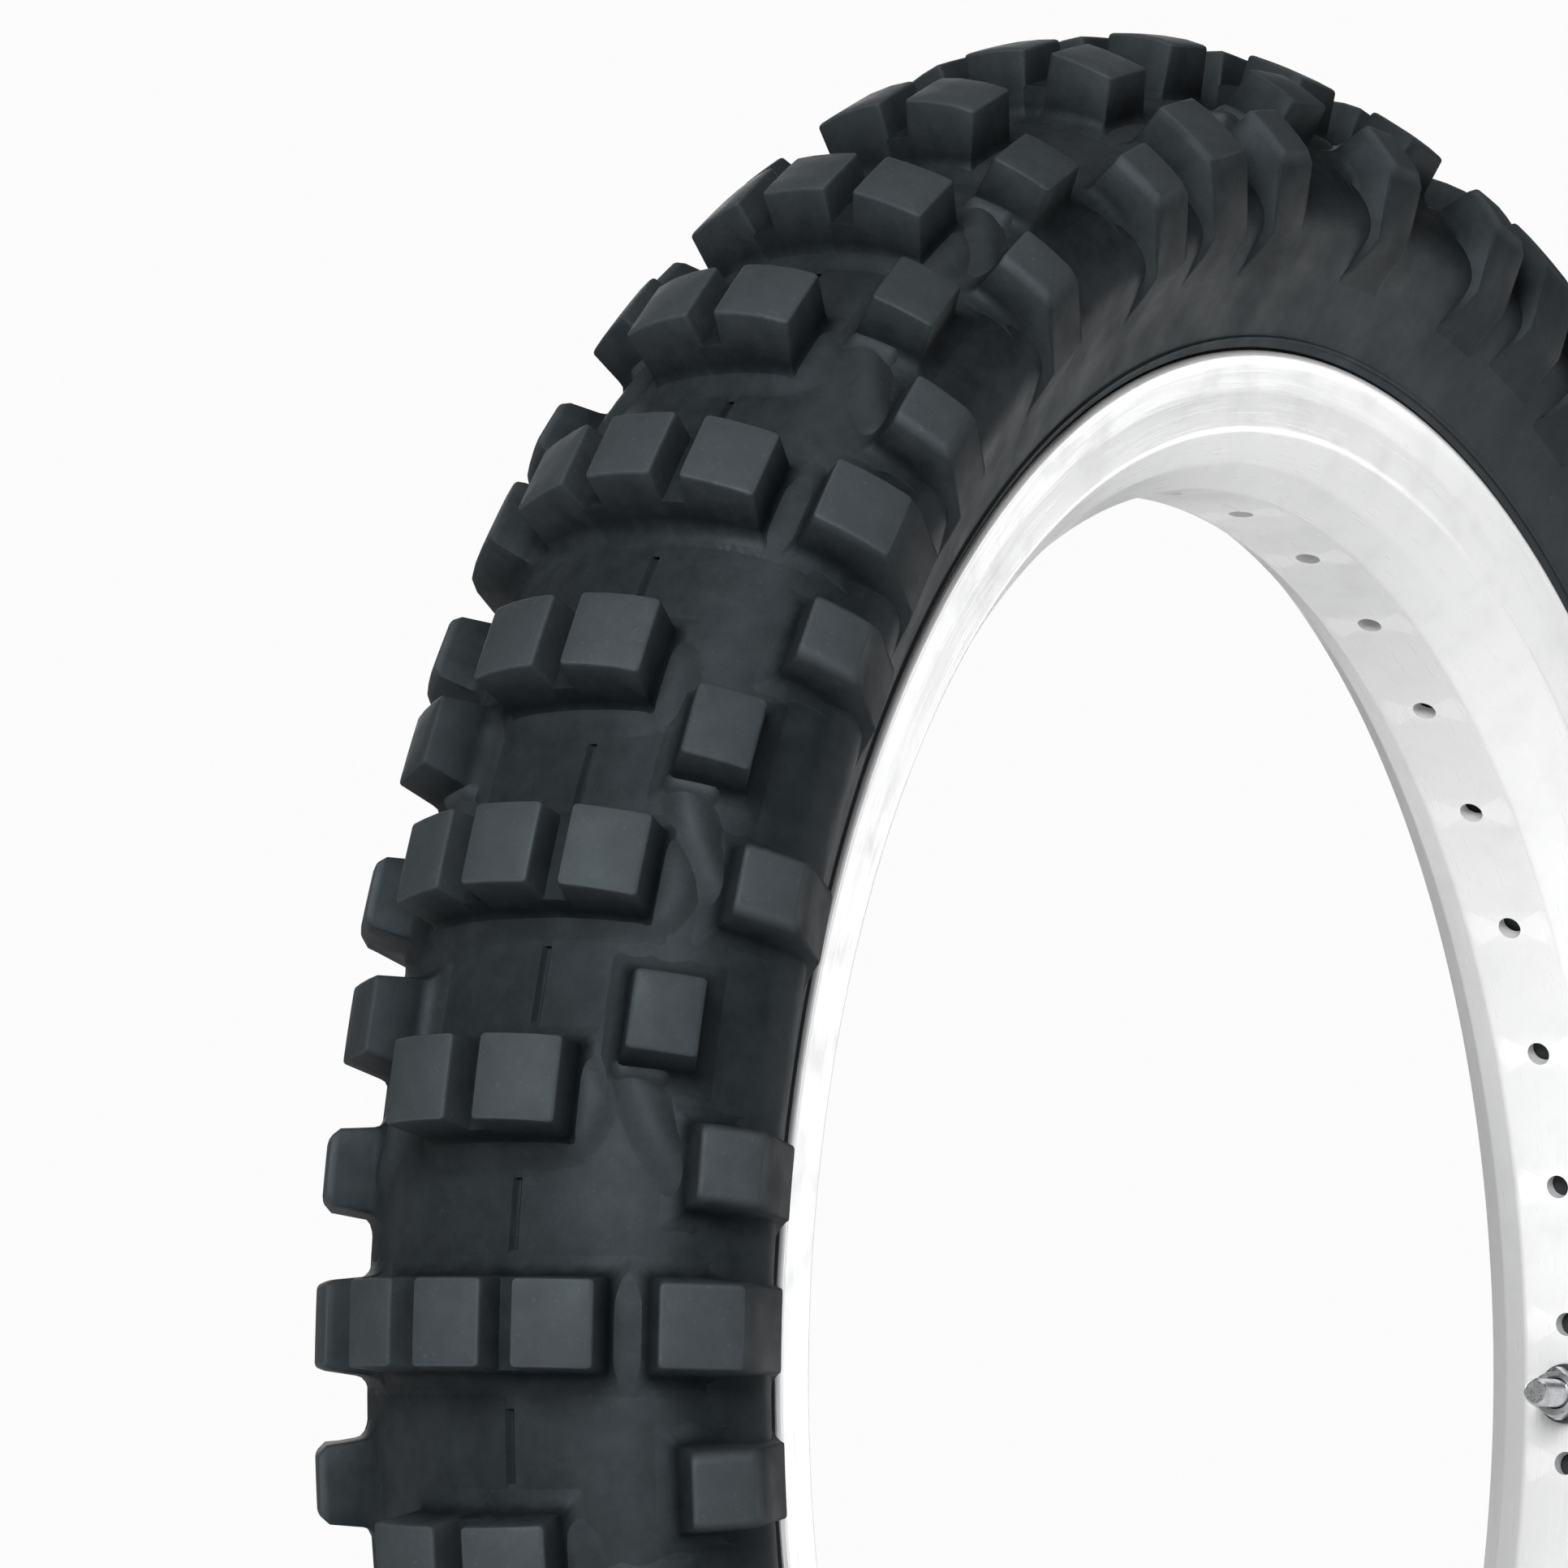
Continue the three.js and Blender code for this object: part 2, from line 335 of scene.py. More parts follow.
class Graph:
    """Short way to write a material's nodes."""

    def __init__(self, name: str) -> None:
        """Starts an empty material with one principled surface."""
        self.material = bpy.data.materials.new(name + FINISH)
        self.material.use_nodes = True
        self.tree = self.material.node_tree
        self.tree.nodes.clear()
        self.surface = self.tree.nodes.new("ShaderNodeBsdfPrincipled")
        output = self.tree.nodes.new("ShaderNodeOutputMaterial")
        self.tree.links.new(self.surface.outputs["BSDF"], output.inputs["Surface"])
        self.place = self.tree.nodes.new("ShaderNodeTexCoord").outputs["Object"]

    def put(self, socket: bpy.types.NodeSocket, value: object) -> None:
        """Links a socket to another, or sets its number."""
        if isinstance(value, bpy.types.NodeSocket):
            self.tree.links.new(value, socket)
        else:
            socket.default_value = value

    def maths(
        self, operation: str, first: object, second: object = 0.0, clamp: bool = False
    ) -> bpy.types.NodeSocket:
        """Math node.

        Args:
            operation: The node's operation.
            first: Its first value.
            second: Its second value.
            clamp: Whether the result stays between 0 and 1.

        Returns:
            The result.
        """
        node = self.tree.nodes.new("ShaderNodeMath")
        node.operation = operation
        node.use_clamp = clamp
        self.put(node.inputs[0], first)
        self.put(node.inputs[1], second)
        return node.outputs[0]

    def spread(self, value: object, low: float, high: float, to_low: float = 0, to_high: float = 1) -> object:
        """Map Range node, clamped: takes low..high to to_low..to_high."""
        node = self.tree.nodes.new("ShaderNodeMapRange")
        for slot, number in enumerate((value, low, high, to_low, to_high)):
            self.put(node.inputs[slot], number)
        return node.outputs[0]

    def blend(self, share: object, first: object, second: object) -> bpy.types.NodeSocket:
        """Mixes two colours, each a socket or three numbers."""
        node = self.tree.nodes.new("ShaderNodeMix")
        node.data_type = "RGBA"
        self.put(node.inputs["Factor"], share)
        for socket, colour in ((node.inputs[6], first), (node.inputs[7], second)):
            self.put(socket, (*colour, 1.0) if isinstance(colour, tuple) else colour)
        return node.outputs[2]

    def noise(self, scale: float, detail: float = 3, roughness: float = 0.5, place: object = None) -> object:
        """Noise texture on the piece's own coordinates, or on another place."""
        node = self.tree.nodes.new("ShaderNodeTexNoise")
        self.put(node.inputs["Vector"], place or self.place)
        for key, number in (("Scale", scale), ("Detail", detail), ("Roughness", roughness)):
            node.inputs[key].default_value = number
        return node.outputs[0]

    def cells(self, scale: float, place: object = None) -> bpy.types.NodeSocket:
        """Distance from the nearest point of a cell texture."""
        node = self.tree.nodes.new("ShaderNodeTexVoronoi")
        self.put(node.inputs["Vector"], place or self.place)
        node.inputs["Scale"].default_value = scale
        return node.outputs["Distance"]

    def layer(self, name: str) -> bpy.types.NodeSocket:
        """Number that the piece stores on its points."""
        node = self.tree.nodes.new("ShaderNodeAttribute")
        node.attribute_name = name
        return node.outputs["Fac"]

    def edges(self, low: float = 0.52, high: float = 0.6) -> bpy.types.NodeSocket:
        """1 on sharp outer edges and 0 elsewhere."""
        pointed = self.tree.nodes.new("ShaderNodeNewGeometry").outputs["Pointiness"]
        return self.spread(pointed, low, high)

    def lengths(self, across: float, round_wheel: float) -> bpy.types.NodeSocket:
        """Place as (distance from the wheel axis, distance from the mid-plane, angle), for turning marks.

        Args:
            across: Scale of the first two.
            round_wheel: Scale of the angle.

        Returns:
            The vector.
        """
        parts = self.tree.nodes.new("ShaderNodeSeparateXYZ")
        self.put(parts.inputs[0], self.place)
        x, y, z = parts.outputs
        squares = self.maths("ADD", self.maths("MULTIPLY", x, x), self.maths("MULTIPLY", z, z))
        out = self.tree.nodes.new("ShaderNodeCombineXYZ")
        self.put(out.inputs[0], self.maths("MULTIPLY", self.maths("SQRT", squares), across))
        self.put(out.inputs[1], self.maths("MULTIPLY", y, across))
        self.put(out.inputs[2], self.maths("MULTIPLY", self.maths("ARCTAN2", z, x), round_wheel))
        return out.outputs[0]

    def relief(self, height: object, depth: float, strength: float = 1.0, under: object = None) -> object:
        """Bump from a height, on top of another bump.

        Args:
            height: The height, 0 to 1.
            depth: How deep 0 to 1 is, in metres.
            strength: The share of it that shows.
            under: The normal that it starts from.

        Returns:
            The normal.
        """
        node = self.tree.nodes.new("ShaderNodeBump")
        self.put(node.inputs["Height"], height)
        node.inputs["Distance"].default_value = depth
        node.inputs["Strength"].default_value = strength
        if under is not None:
            self.put(node.inputs["Normal"], under)
        return node.outputs[0]

    def dress(self, **sockets: object) -> bpy.types.Material:
        """Fills the surface's sockets, named with underscores for spaces, and returns the material."""
        for key, value in sockets.items():
            name = key.replace("_", " ")
            socket = next(s for s in self.surface.inputs if s.name.lower() == name.lower())
            self.put(socket, (*value, 1.0) if isinstance(value, tuple) else value)
        return self.material


@dataclass(frozen=True)
class Rubber:
    """Vulcanised rubber: black where shade is painted, on walls, in grooves and in pockets, and greyer where
    it is scuffed and on tops and edges that carry painted light.

    The layer that a piece stores on its points for this finish is 0 on walls, as painted shade, and 1 on
    scuffed edges, which also carry a painted highlight.
    """

    name: str
    # black is painted shade on walls, in grooves and in pockets; grey is scuffing together with painted light
    # on tops and edges.
    black: Colour = (0.003, 0.0043, 0.0054)
    grey: Colour = (0.027, 0.0315, 0.0345)
    dust: Colour = (0.072, 0.080, 0.086)
    grain: float = 1.0
    roughness: float = 0.62

    def make(self) -> bpy.types.Material:
        """Builds the material."""
        g = Graph(self.name)
        broad = g.noise(14, 4, 0.6)
        mottle = g.noise(170, 5, 0.65)
        pores = g.noise(2600, 2, 0.5)
        # Scuffing with painted light and painted shade, from the layer that the pieces store, mottled by
        # noise.
        scuff = g.maths("ADD", g.layer("scuff"), g.spread(mottle, 0.3, 0.7, -0.09, 0.09), clamp=True)
        colour = g.blend(scuff, self.black, self.grey)
        dusty = g.maths("MULTIPLY", g.spread(broad, 0.45, 0.75, 0.0, 0.05), g.spread(mottle, 0.35, 0.65))
        colour = g.blend(dusty, colour, self.dust)
        specks = g.maths("MULTIPLY", g.spread(g.noise(900, 2, 0.4), 0.66, 0.74, 0.0, 0.2), scuff)
        colour = g.blend(specks, colour, self.dust)
        rough = g.spread(g.noise(60, 4, 0.6), 0.3, 0.7, self.roughness - 0.09, self.roughness + 0.12)
        coarse = g.relief(g.noise(240, 3, 0.55), 0.00025, 0.35 * self.grain)
        skin = g.relief(pores, 0.00006, 0.55 * self.grain, coarse)
        return g.dress(base_color=colour, roughness=rough, normal=skin, specular_ior_level=0.16,
                       specular_tint=(0.8, 0.93, 1.0))


@dataclass(frozen=True)
class Alloy:
    """Turned and anodised light alloy, with marks that run round the wheel."""

    name: str
    bright: Colour = (0.84, 0.84, 0.84)
    dull: Colour = (0.68, 0.69, 0.7)
    metal: float = 0.4

    def make(self) -> bpy.types.Material:
        """Builds the material."""
        g = Graph(self.name)
        turning = g.noise(1.0, 3, 0.6, g.lengths(2600, 9))
        broad = g.noise(9, 4, 0.6)
        stain = g.spread(g.noise(70, 5, 0.6), 0.5, 0.78, 0.0, 0.5)
        colour = g.blend(g.spread(broad, 0.3, 0.7, 0.0, 0.45), self.bright, self.dull)
        colour = g.blend(g.maths("MULTIPLY", stain, 0.35), colour, (0.42, 0.42, 0.42))
        colour = g.blend(g.maths("MULTIPLY", g.edges(), 0.6), colour, (0.95, 0.95, 0.96))
        rough = g.maths("ADD", g.spread(turning, 0.3, 0.7, 0.26, 0.4), g.maths("MULTIPLY", stain, 0.2))
        marks = g.relief(turning, 0.00003, 0.5)
        return g.dress(base_color=colour, metallic=self.metal, roughness=rough, normal=marks)


@dataclass(frozen=True)
class Metal:
    """Small turned or plated part: fine grain, stains in the hollows and bright edges."""

    name: str
    colour: Colour
    stain: Colour
    roughness: float = 0.3

    def make(self) -> bpy.types.Material:
        """Builds the material."""
        g = Graph(self.name)
        grain = g.noise(1900, 3, 0.6)
        patches = g.spread(g.noise(230, 5, 0.65), 0.42, 0.72, 0.0, 0.75)
        colour = g.blend(patches, self.colour, self.stain)
        bright = tuple(min(1.0, 1.25 * c) for c in self.colour)
        colour = g.blend(g.maths("MULTIPLY", g.edges(), 0.7), colour, bright)
        rough = g.maths("ADD", g.spread(grain, 0.3, 0.7, self.roughness - 0.06, self.roughness + 0.08),
                        g.maths("MULTIPLY", patches, 0.22))
        return g.dress(base_color=colour, metallic=1.0, roughness=rough, normal=g.relief(grain, 0.00004, 0.4))


@dataclass(frozen=True)
class Plastic:
    """Moulded plastic with a fine spark-eroded grain."""

    name: str
    colour: Colour = (0.014, 0.014, 0.015)
    worn: Colour = (0.09, 0.09, 0.09)

    def make(self) -> bpy.types.Material:
        """Builds the material."""
        g = Graph(self.name)
        grain = g.cells(2400)
        broad = g.spread(g.noise(120, 4, 0.6), 0.35, 0.7, 0.0, 0.3)
        wear = g.maths("MAXIMUM", broad, g.maths("MULTIPLY", g.edges(), 0.7))
        colour = g.blend(wear, self.colour, self.worn)
        rough = g.spread(g.noise(300, 3), 0.3, 0.7, 0.38, 0.55)
        return g.dress(base_color=colour, roughness=rough, normal=g.relief(grain, 0.00005, 0.5))


@dataclass(frozen=True)
class Cord:
    """Rubbered ply: parallel cords that lean across the tyre, under a thin coat."""

    name: str
    cord: Colour
    coat: Colour
    lean: float

    def make(self) -> bpy.types.Material:
        """Builds the material."""
        g = Graph(self.name)
        parts = g.tree.nodes.new("ShaderNodeSeparateXYZ")
        g.put(parts.inputs[0], g.lengths(1.0, 1.0))
        radius, across, angle = parts.outputs
        run = g.maths("ADD", g.maths("MULTIPLY", angle, 0.3), g.maths("MULTIPLY", across, self.lean))
        wave = g.maths("SINE", g.maths("MULTIPLY", run, math.tau / 0.0012))
        height = g.spread(wave, -1, 1)
        fuzz = g.noise(1500, 4, 0.6)
        shown = g.maths("MULTIPLY", height, g.spread(fuzz, 0.2, 0.7, 0.4, 1.0))
        colour = g.blend(shown, self.coat, self.cord)
        rough = g.spread(fuzz, 0.3, 0.7, 0.72, 0.92)
        threads = g.relief(height, 0.0003, 0.8)
        return g.dress(base_color=colour, roughness=rough, normal=g.relief(fuzz, 0.00005, 0.4, threads))


class Finish(Enum):
    """The finishes of this wheel, named like the record's material slots where new pieces use them."""

    TYRE_RUBBER = Rubber("tyre_rubber")
    INNER_RUBBER = Rubber("inner_rubber", black=(0.02, 0.021, 0.022), grey=(0.05, 0.05, 0.05), grain=1.4)
    TUBE_RUBBER = Rubber("tube_rubber", black=(0.028, 0.028, 0.029), grey=(0.06, 0.06, 0.06), roughness=0.5)
    CORD_FABRIC = Cord("cord_fabric", (0.42, 0.36, 0.25), (0.05, 0.045, 0.04), 0.9)
    CHAFER_FABRIC = Cord("chafer_fabric", (0.05, 0.048, 0.045), (0.012, 0.012, 0.013), 1.4)
    BEAD_STEEL = Metal("bead_steel", (0.55, 0.45, 0.32), (0.3, 0.24, 0.18), 0.34)
    RIM_ALLOY = Alloy("rim_alloy")
    VALVE_BRASS = Metal("valve_brass", (0.72, 0.53, 0.24), (0.42, 0.3, 0.14), 0.28)
    PLATED_STEEL = Metal("plated_steel", (0.62, 0.63, 0.65), (0.36, 0.36, 0.37), 0.27)
    BLACK_PLASTIC = Plastic("black_plastic")

    def material(self) -> bpy.types.Material:
        """The finish's material, built the first time that it is asked for."""
        return bpy.data.materials.get(self.value.name + FINISH) or self.value.make()


def dress(piece: bpy.types.Object, finish: Finish) -> None:
    """Gives every face of a piece one finish."""
    piece.data.materials.clear()
    piece.data.materials.append(finish.material())
    for face in piece.data.polygons:
        face.material_index = 0


def place(piece: bpy.types.Object, finish: Finish, *nodes: str, body: str = WHEEL) -> None:
    """Dresses a finished piece, lets it ride on a body and stand for CAD nodes, and reports it.

    Args:
        piece: The finished mesh object.
        finish: Its finish.
        nodes: The CAD nodes that it stands for.
        body: The body that it moves with.
    """
    dress(piece, finish)
    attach(piece, body)
    if nodes:
        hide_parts(*nodes)
    LOG.info("%s: %d faces, %s, on %s", piece.name, len(piece.data.polygons), finish.value.name, body)


def keep(finishes: dict[str, Finish]) -> None:
    """Gives CAD nodes that stay visible their finishes."""
    for name, finish in finishes.items():
        dress(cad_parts[name], finish)
        LOG.info("%s: kept, %s", name, finish.value.name)


# --------------------------------------------------------------------------------------------------
# Tyre
# --------------------------------------------------------------------------------------------------


@dataclass(frozen=True)
class Casing:
    """Outer skin of the tyre between the lugs, from the middle of the tread to the bead."""

    skin: tuple[Point, ...] = (
        (0, 323.5), (12, 322.8), (22, 320.6), (31, 316.8), (39, 311.2), (45.8, 304), (49.9, 298), (51.3, 293),
        (50.4, 289), (47.8, 284.6), (44.6, 279.6), (41, 273.8), (37.4, 267.8), (34.7, 263.2), (33.4, 260.6),
    )
    arc_centre: float = 272.5
    arc_radius: float = 69.5
    shoulder_drop: float = 2.0
    drop_from: float = 8
    drop_over: float = 22
    join: Point = (51.1, 291.3)
    join_angle: float = 70.6
    fine: int = 5

    def top(self, across: float) -> float:
        """Distance from the centre of the tread arc to the top of a lug at an angle across the tread."""
        share = min(1.0, max(0.0, (abs(across) - self.drop_from) / self.drop_over))
        return self.arc_radius - self.shoulder_drop * share * share * (3 - 2 * share)

    def line(self) -> list[Point]:
        """The skin as a smooth line of close points."""
        head = curve_through([(-12, 322.8), *self.skin], self.fine)
        return head[self.fine :]

    def across(self, point: Point) -> float:
        """Angle across the tread of a point of the cross-section, in degrees."""
        return math.degrees(math.atan2(point[0], point[1] - self.arc_centre))

    def depth(self, across: float) -> float:
        """Distance from the centre of the tread arc to the skin.

        Args:
            across: The angle across the tread, in degrees.

        Returns:
            The distance in millimetres.
        """
        polar = [(self.across(p), math.hypot(p[0], p[1] - self.arc_centre)) for p in self.line()]
        across = abs(across)
        for (low, near), (high, far) in zip(polar, polar[1:]):
            if across <= high:
                return near + (far - near) * (across - low) / (high - low)
        return polar[-1][1]

    def table(self) -> list[float]:
        return [self.depth(degree) for degree in range(112)]


# Pairs (angle across the tread, greyness) for the rubber between the lugs; the dip from 44 to 66 degrees is
# painted shade in the pockets between the shoulder lugs.
BARE_GREY_AND_POCKET_SHADE = (
    (0, 0.2), (20, 0.26), (36, 0.42), (44, 0.24), (50, 0.04), (60, 0.06), (66, 0.36), (72, 0.52),
    (180, 0.52),
)


def bare_grey_and_pocket_shade(across: float) -> float:
    """How grey the rubber between the lugs is at an angle across the tread: dark beside the shoulder lugs,
    painted shade in the pockets between them.
    """
    spot = abs(across)
    for (low, start), (high, end) in zip(BARE_GREY_AND_POCKET_SHADE, BARE_GREY_AND_POCKET_SHADE[1:]):
        if spot <= high:
            return start + (end - start) * (spot - low) / (high - low)
    return BARE_GREY_AND_POCKET_SHADE[-1][1]


@dataclass
class Lug:
    """One rubber block, modelled flat and then laid on the casing.

    Flat, X runs round the tyre in millimetres, Y across it in degrees of the tread arc, and Z away
    from the casing, where FULL is the height of the tread arc. The draft is how much each wall leans
    out down to the foot, lean is that of the outer wall in degrees besides, and shoulder is the slope
    cut off both ends of the top. A lug with a reach runs out down the sidewall.
    """

    FULL = 18.5
    SLOPE = 3.2
    SLIGHT = 0.01

    name: str
    inner: float
    outer: float
    length: float
    height: float = FULL
    draft: float = 0.9
    corner: float = 1.0
    bevel: float = 0.9
    foot: float = 4.6
    skirt: float = 0.45
    lean: float = 0.0
    shoulder: float = 0.0
    reach: float = 0.0
    narrow: float = 1.0
    # How much lighter the top and bevel are painted: partly scuffing, partly painted light.
    worn: float = 0.86
    cuts: int = 2
    cuts_across: int = 2

    def flat(self) -> bpy.types.Object:
        """Models the block from a cube: draft, rounded corners, bevelled top and flared foot.

        Returns:
            The block, flat.
        """
        middle = (self.inner + self.outer) / 2
        width = self.outer - self.inner
        clear_selection()
        bpy.ops.mesh.primitive_cube_add(size=1, location=(0, middle, (self.foot + self.height) / 2))
        block = bpy.context.active_object
        block.name = self.name
        block.scale = (self.length, width, self.height - self.foot)
        set_in_mesh(block)
        with editing(block):
            planes = [((share * self.length, 0, 0), (1, 0, 0)) for share in even_cuts(self.cuts)]
            planes += [((0, middle + share * width, 0), (0, 1, 0)) for share in even_cuts(self.cuts_across)]
            planes += [((0, 0, self.height - self.SLOPE), (0, 0, 1))] if self.shoulder else []
            cut(planes)
            if self.shoulder:
                pick(block, Part.VERT, lambda point: point.co.z > self.height - self.SLIGHT)
                stretch((1 - 2 * self.shoulder / self.length, 1, 1), (0, middle, 0))
            low = self.foot + self.SLIGHT
            pick(block, Part.VERT, lambda point: point.co.z < low)
            grow = 2 * self.draft
            stretch(((self.length + grow) / self.length, (width + grow) / width, 1), (0, middle, 0))
            if self.lean:
                pick(block, Part.VERT, lambda point: point.co.z < low and point.co.y > middle + width / 2)
                bpy.ops.transform.translate(value=(0, self.lean, 0))
            pick(block, Part.EDGE, self.upright_corner)
            bpy.ops.mesh.bevel(offset=self.corner, segments=2, affect="EDGES")
            self.bevel_top(block)
            self.flare_foot(block, middle + self.lean / 2, width + grow + self.lean, self.length + grow)
            if self.reach:
                self.run_out(block, middle, width)
        paint(block, "scuff", self.scuff)
        return block

    def upright_corner(self, edge: bmesh.types.BMEdge) -> bool:
        """Whether an edge of the block runs up one of its four corners."""
        start, end = (point.co for point in edge.verts)
        at, way = (start + end) / 2, (end - start).normalized()
        x, y = self.length / 2 - self.shoulder, (self.outer - self.inner) / 2
        off_middle = abs(at.y - (self.inner + self.outer) / 2)
        return abs(way.z) > 0.8 and abs(at.x) > x - self.SLIGHT and off_middle > y - self.SLIGHT

    def bevel_top(self, block: bpy.types.Object) -> None:
        """Bevels the edges all round the top."""
        pick(block, Part.EDGE, lambda edge: len({face.normal.z > 0.9 for face in edge.link_faces}) == 2)
        bpy.ops.mesh.bevel(offset=self.bevel, segments=2, affect="EDGES")

    def flare_foot(self, block: bpy.types.Object, middle: float, width: float, length: float) -> None:
        """Draws the bottom out in a hollow curve that ends just under the casing.

        Args:
            block: The block in edit mode.
            middle: Its middle across the tyre.
            width: Its width at the bottom.
            length: Its length at the bottom.
        """
        pick(block, Part.FACE, lambda face: face.normal.z < -0.9)
        steps, overlap = 4, 1.2
        turns = [math.pi / 2 * k / steps for k in range(1, steps + 1)]
        flare = [((1 - math.cos(t)) * self.foot, (1 - math.sin(t)) * self.foot) for t in turns]
        flare.append((self.foot + overlap, -self.skirt))
        level, sides = self.foot, Vector((length, width))
        for out, up in flare:
            bpy.ops.mesh.extrude_region_move(TRANSFORM_OT_translate={"value": (0, 0, up - level)})
            wide = Vector((length + 2 * out, width + 2 * out))
            stretch((wide.x / sides.x, wide.y / sides.y, 1), (0, middle, 0))
            level, sides = up, wide

    def run_out(self, block: bpy.types.Object, middle: float, width: float) -> None:
        """Draws the outer wall down the sidewall as a buttress that narrows as it goes.

        Args:
            block: The block in edit mode.
            middle: Its middle across the tyre.
            width: Its width at the top.
        """
        mesh = bmesh.from_edit_mesh(block.data)
        edge = middle + width / 4
        for point in mesh.verts:
            if point.co.y > edge and point.co.z < self.height - self.bevel:
                down = 1 - max(point.co.z, 0.0) / (self.height - self.bevel)
                out = (point.co.y - edge) / (width / 4)
                point.co.y += self.reach * down * min(1.0, out)
                point.co.x *= 1 - (1 - self.narrow) * down * min(1.0, out)
        bmesh.update_edit_mesh(block.data)

    def scuff(self, at: Vector) -> float:
        """How grey a point is: the bevel most, scuffed and with a painted highlight, then the top, scuffed
        and partly painted light, then the foot, and the walls least, black as painted shade.
        """
        below = self.height - at.z
        if below < self.SLIGHT:
            return self.worn
        if below < self.bevel - 0.05:
            return min(1.0, 1.16 * self.worn)
        if below < self.bevel + 0.3:
            return 0.5 * self.worn
        if self.shoulder and below < self.SLOPE + 0.3:
            return 0.3
        # Painted highlight: the outer wall of a lug with a reach, its buttress, is painted lighter where
        # light catches it.
        wall = 0.42 if self.reach and at.y > self.outer - 0.5 else 0.0
        if at.z > self.foot - 0.05:
            return wall
        # The foot fades into the grey of the rubber between the lugs, with its painted pocket shade.
        down = 1 - max(at.z, 0.0) / self.foot
        return wall + (max(wall, bare_grey_and_pocket_shade(at.y)) - wall) * down * down


def lay(shape: bpy.types.Object, casing: Casing) -> bpy.types.Object:
    """Lays a flat lug or swell on the near side of the casing at angle 0.

    Args:
        shape: The flat shape.
        casing: The skin that it stands on.

    Returns:
        The same object.
    """
    table = casing.table()
    for point in shape.data.vertices:
        x, across, z = point.co
        spot = min(abs(across), 110.0)
        low = int(spot)
        skin = table[low] + (table[low + 1] - table[low]) * (spot - low)
        lift = z * (casing.top(across) - skin) / Lug.FULL if z > 0 else z
        turn = math.radians(across)
        a = (skin + lift) * math.sin(turn)
        r = casing.arc_centre + (skin + lift) * math.cos(turn)
        point.co = (-r * math.cos(x / r) * MM, -a * MM, r * math.sin(x / r) * MM)
    smooth(shape, 40)
    return shape


@dataclass
class Swell:
    """Low smooth rise of the casing along a line, laid out flat like a lug and ending just under it.

    Its edge slopes down over the length fall, and its top is painted greyer than the casing by a set amount,
    painted light on the top of the rise.
    """

    name: str
    line: tuple[Point, ...]
    reach: float
    height: float
    fall: float
    cell: float = 2.0
    worn: float = 0.3

    def away(self, spot: Vector) -> float:
        """Distance of a flat point from the line."""
        nearest = 1e9
        for start, end in zip(self.line, self.line[1:]):
            run = Vector(end) - Vector(start)
            share = (spot - Vector(start)).dot(run) / run.length_squared
            nearest = min(nearest, (spot - Vector(start) - run * min(1.0, max(0.0, share))).length)
        return nearest

    def rise(self, spot: Vector) -> float:
        """Height of the swell at a flat point, in millimetres."""
        share = min(1.0, max(0.0, (self.reach - self.away(spot)) / self.fall))
        return self.height * share * share * (3 - 2 * share) - 0.25 * (1 - share)

    def flat(self) -> bpy.types.Object:
        """Models the swell from a grid whose points are lifted.

        Returns:
            The swell, flat.
        """
        low = Vector([min(p[axis] for p in self.line) - self.reach - 0.6 for axis in (0, 1)])
        high = Vector([max(p[axis] for p in self.line) + self.reach + 0.6 for axis in (0, 1)])
        cells = [max(4, round((high[axis] - low[axis]) / self.cell)) for axis in (0, 1)]
        clear_selection()
        bpy.ops.mesh.primitive_grid_add(x_subdivisions=cells[0], y_subdivisions=cells[1], size=1)
        sheet = bpy.context.active_object
        sheet.name = self.name
        sheet.location = (*((low + high) / 2), 0)
        sheet.scale = (*(high - low), 1)
        set_in_mesh(sheet)
        for point in sheet.data.vertices:
            point.co.z = self.rise(point.co.xy)
        with editing(sheet):
            bpy.ops.mesh.select_all(action="SELECT")
            bpy.ops.mesh.region_to_loop()
            bpy.ops.mesh.edge_face_add()
        # Grey of the rubber between the lugs, with its painted pocket shade, and lighter towards the top of
        # the rise as painted light.
        paint(sheet, "scuff", lambda at: bare_grey_and_pocket_shade(at.y) + self.worn * max(0.0, at.z / self.height))
        return sheet


class Side(Enum):
    """The two sides of the tyre: NEAR is towards -Y."""

    NEAR = 1
    FAR = -1

    def move(self, angle: float) -> Matrix:
        """The move that takes a lug from the near side at angle 0 to this side at an angle in degrees."""
        flip = Matrix.Diagonal((1, self.value, 1, 1))
        return Matrix.Rotation(math.radians(angle), 4, "Y") @ flip


